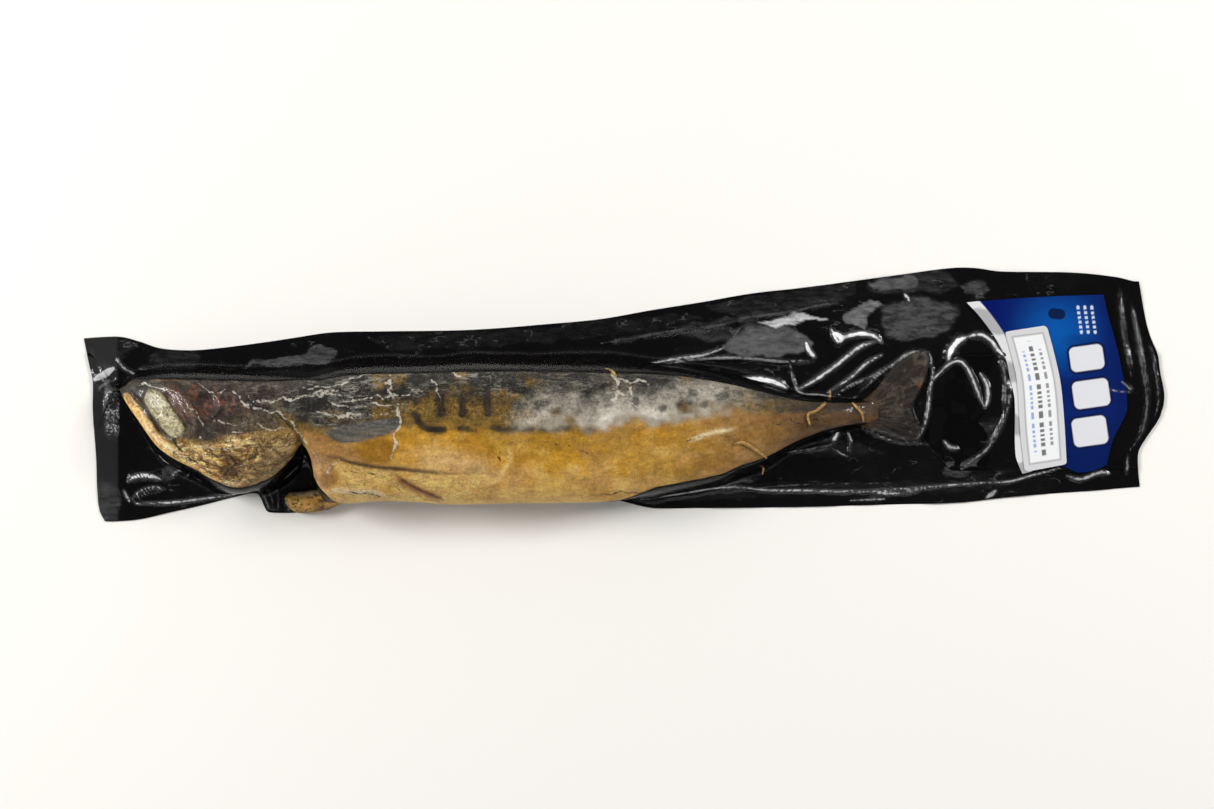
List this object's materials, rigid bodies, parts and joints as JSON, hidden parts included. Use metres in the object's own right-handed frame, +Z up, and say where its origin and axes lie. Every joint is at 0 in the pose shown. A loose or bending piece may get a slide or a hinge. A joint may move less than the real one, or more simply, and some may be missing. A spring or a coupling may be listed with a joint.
{
  "type": "vacuum-packed smoked mackerel",
  "caption": "Whole hot-smoked fish with head and tail, lying on its side between a black back film and a clear front film, with a printed label and a sticker at the tail end.",
  "frame": {"origin": "on the table, under the middle of the pack's bounding box", "axes": "+X from the head end to the tail end of the pack, +Y from the belly to the back of the fish, +Z up from the table"},
  "size_m": [0.486, 0.114, 0.0386],
  "materials": {
    "smoked_skin": "oily golden smoked skin, dark barred back, greyish fat bloom",
    "black_film": "glossy black multilayer film, wrinkled",
    "clear_film": "clear glossy vacuum film, tight and creased",
    "label_print": "blue gradient print with a silver-white edge band, glossy",
    "sticker_paper": "white satin paper with a grey border"
  },
  "bodies": {
    "root": {"mackerel": "smoked_skin", "back_film": "black_film", "front_film": "clear_film", "printed_label": "label_print", "product_sticker": "sticker_paper"}
  },
  "joints": []
}
